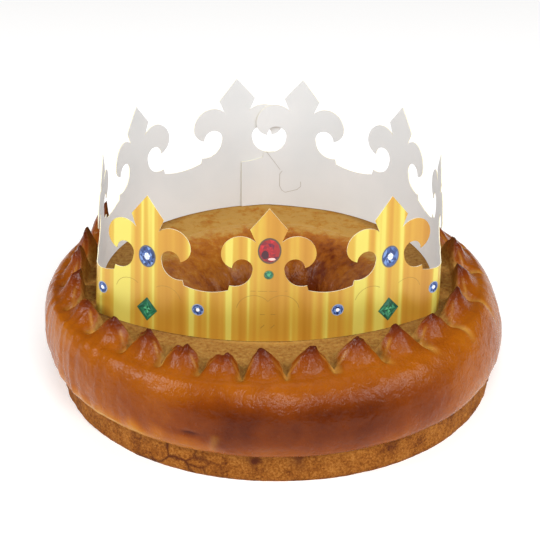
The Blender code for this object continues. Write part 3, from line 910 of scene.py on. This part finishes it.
    # Relief: wrinkles 6 mm apart, pits of 2 mm and blisters of 1 mm.
    wrinkles = clouds(6.0, 2.0, 0.50, 0.8)
    bump = add_node(m, "ShaderNodeBump", {"Strength": 1.0, "Distance": 0.0006}, {"Height": wrinkles})
    blisters = clouds(1.2, 3.0, 0.5)
    skin = add_node(
        m, "ShaderNodeBump",
        {"Strength": 1.0, "Distance": 0.00026},
        {"Height": blisters, "Normal": bump.outputs[0]},
    )
    fine = add_node(m, "ShaderNodeBump", {"Distance": 0.0005}, {"Height": pits, "Normal": skin.outputs[0]})
    link(blend_value(m, dull.outputs[0], 0.02, 0.75), fine.inputs["Strength"])
    link(fine.outputs[0], shader.inputs["Normal"])
    return m


def gold_print():
    """Solid bleached board printed and varnished in ochre gold, with upright lemon bands of painted
    highlight.
    """
    m, shader = new_material("gold_printed_board")
    link = m.node_tree.links.new
    strip = add_node(m, "ShaderNodeAttribute", {"attribute_name": "strip"}).outputs["Vector"]
    drawn = add_node(m, "ShaderNodeMapping", {"Scale": (1.0, 0.015, 0.0)}, {"Vector": strip})
    # Painted highlights: upright bands lighten the ochre gold towards lemon.
    sheen_bands = add_node(
        m, "ShaderNodeTexNoise",
        {"Scale": 120.0, "Detail": 2.0, "Roughness": 0.5},
        {"Vector": drawn.outputs[0]},
    )
    wide = add_node(m, "ShaderNodeTexNoise", {"Scale": 30.0, "Detail": 1.0}, {"Vector": drawn.outputs[0]})
    tone = add_node(
        m, "ShaderNodeMath",
        {"operation": "MULTIPLY_ADD", 1: 0.8},
        {0: wide.outputs["Fac"], 2: sheen_bands.outputs["Fac"]},
    )
    colour = set_ramp(
        add_node(m, "ShaderNodeValToRGB", None, {"Fac": tone.outputs[0]}),
        [(0.64, "#b0781e"), (0.78, "#bc862a"), (0.88, "#c69634"), (0.95, "#caa63c"), (1.0, "#d6c85c")],
    )
    link(colour, shader.inputs["Base Color"])
    shader.inputs["Metallic"].default_value = 0.15
    shader.inputs["Roughness"].default_value = 0.32
    grain = add_node(m, "ShaderNodeTexNoise", {"Scale": 900.0, "Detail": 2.0}, {"Vector": strip})
    bump = add_node(
        m, "ShaderNodeBump", {"Strength": 0.06, "Distance": 0.0003}, {"Height": grain.outputs["Fac"]}
    )
    link(bump.outputs[0], shader.inputs["Normal"])
    return m


def card_reverse():
    """The board's uncoated back: grey white pulp with a faint tooth."""
    m, shader = new_material("uncoated_board_back")
    link = m.node_tree.links.new
    strip = add_node(m, "ShaderNodeAttribute", {"attribute_name": "strip"}).outputs["Vector"]
    cloud = add_node(m, "ShaderNodeTexNoise", {"Scale": 30.0, "Detail": 3.0}, {"Vector": strip})
    colour = set_ramp(
        add_node(m, "ShaderNodeValToRGB", None, {"Fac": cloud.outputs["Fac"]}),
        [(0.3, "#d6d8d8"), (0.7, "#dfdfde")],
    )
    link(colour, shader.inputs["Base Color"])
    shader.inputs["Roughness"].default_value = 0.75
    pulp = add_node(m, "ShaderNodeTexNoise", {"Scale": 1400.0, "Detail": 3.0}, {"Vector": strip})
    bump = add_node(
        m, "ShaderNodeBump", {"Strength": 0.10, "Distance": 0.0002}, {"Height": pulp.outputs["Fac"]}
    )
    link(bump.outputs[0], shader.inputs["Normal"])
    return m


def card_edge():
    """The board's die-cut edge: cream fibre."""
    m, shader = new_material("die_cut_board_edge")
    strip = add_node(m, "ShaderNodeAttribute", {"attribute_name": "strip"}).outputs["Vector"]
    cloud = add_node(m, "ShaderNodeTexNoise", {"Scale": 400.0, "Detail": 2.0}, {"Vector": strip})
    colour = set_ramp(
        add_node(m, "ShaderNodeValToRGB", None, {"Fac": cloud.outputs["Fac"]}),
        [(0.3, "#e6dcb4"), (0.7, "#f4eed2")],
    )
    m.node_tree.links.new(colour, shader.inputs["Base Color"])
    shader.inputs["Roughness"].default_value = 0.7
    return m


def stone_ink():
    """Process inks under the same varnish: each facet is one flat tone, a little grainy."""
    m, shader = new_material("process_ink_stones")
    ink = add_node(m, "ShaderNodeAttribute", {"attribute_name": "ink"}).outputs["Color"]
    strip = add_node(m, "ShaderNodeAttribute", {"attribute_name": "strip"}).outputs["Vector"]
    dots = add_node(m, "ShaderNodeTexNoise", {"Scale": 2400.0, "Detail": 1.0}, {"Vector": strip})
    fleck = add_node(m, "ShaderNodeMapRange", {"To Min": 0.0, "To Max": 0.35}, {"Value": dots.outputs["Fac"]})
    colour = blend_colour(m, fleck.outputs[0], ink, "#ffffff", "SOFT_LIGHT")
    m.node_tree.links.new(colour, shader.inputs["Base Color"])
    shader.inputs["Roughness"].default_value = 0.30
    return m


def score_shade():
    """Score and perforation lines pressed in the board, and painted shade along a dent in its back: a shade
    darker than what is round them.
    """
    m, shader = new_material("pressed_score_and_shade_line")
    strip = add_node(m, "ShaderNodeAttribute", {"attribute_name": "strip"}).outputs["Vector"]
    height = add_node(m, "ShaderNodeSeparateXYZ", None, {"Vector": strip}).outputs["Z"]
    inside = add_node(m, "ShaderNodeMath", {"operation": "LESS_THAN", 1: 0.0}, {0: height})
    worn = add_node(m, "ShaderNodeTexNoise", {"Scale": 260.0}, {"Vector": strip})
    gold = blend_colour(m, worn.outputs["Fac"], "#84601e", "#a88434")
    colour = blend_colour(m, inside.outputs[0], gold, "#b4aea6")
    m.node_tree.links.new(colour, shader.inputs["Base Color"])
    shader.inputs["Roughness"].default_value = 0.5
    return m


# ---- Floor, light and camera ----


def add_softbox(name, place, size, power):
    data = bpy.data.lights.new(name, "AREA")
    data.shape = "RECTANGLE"
    data.size, data.size_y = size
    data.energy = power
    light = bpy.data.objects.new(name, data)
    light.location = place
    light.rotation_euler = (Vector(LIGHT_AIM) - Vector(place)).to_track_quat("-Z", "Y").to_euler()
    bpy.context.scene.collection.objects.link(light)


def make_stage():
    bm = bmesh.new()
    bmesh.ops.create_grid(bm, x_segments=1, y_segments=1, size=3.0)
    mesh = bpy.data.meshes.new("floor")
    bm.to_mesh(mesh)
    bm.free()
    material, shader = new_material("matt_white_table")
    shader.inputs["Base Color"].default_value = linear("#f8f7f6")
    shader.inputs["Roughness"].default_value = 0.9
    shader.inputs["Emission Color"].default_value = (1.0, 1.0, 1.0, 1.0)
    shader.inputs["Emission Strength"].default_value = FLOOR_GLOW
    mesh.materials.append(material)
    floor = bpy.data.objects.new("floor", mesh)
    bpy.context.scene.collection.objects.link(floor)
    world = bpy.data.worlds.new("studio")
    bpy.context.scene.world = world
    world.use_nodes = True
    background = world.node_tree.nodes["Background"]
    background.inputs["Color"].default_value = (1.0, 1.0, 1.0, 1.0)
    background.inputs["Strength"].default_value = WORLD_STRENGTH
    for softbox in SOFTBOXES:
        add_softbox(*softbox)


def make_camera():
    data = bpy.data.cameras.new("camera")
    data.sensor_width = SENSOR_WIDTH
    data.lens = FOCAL_PIXELS * SENSOR_WIDTH / FRAME_PIXELS
    data.shift_x = -6.38 / FRAME_PIXELS
    data.shift_y = 12.44 / FRAME_PIXELS
    data.clip_end = 20.0
    camera = bpy.data.objects.new("camera", data)
    back = Vector((0.0, -cos(CAMERA_ELEVATION), sin(CAMERA_ELEVATION)))
    camera.location = Vector(CAMERA_TARGET) + CAMERA_DISTANCE * back
    camera.rotation_euler = (radians(90) - CAMERA_ELEVATION, 0.0, 0.0)
    bpy.context.scene.collection.objects.link(camera)
    bpy.context.scene.camera = camera


make_stage()
make_camera()
bpy.context.scene.view_settings.view_transform = "Standard"
make_brioche(brioche_crust())
make_crown(gold_print(), card_reverse(), card_edge())
make_print(stone_ink())
make_scores(score_shade())
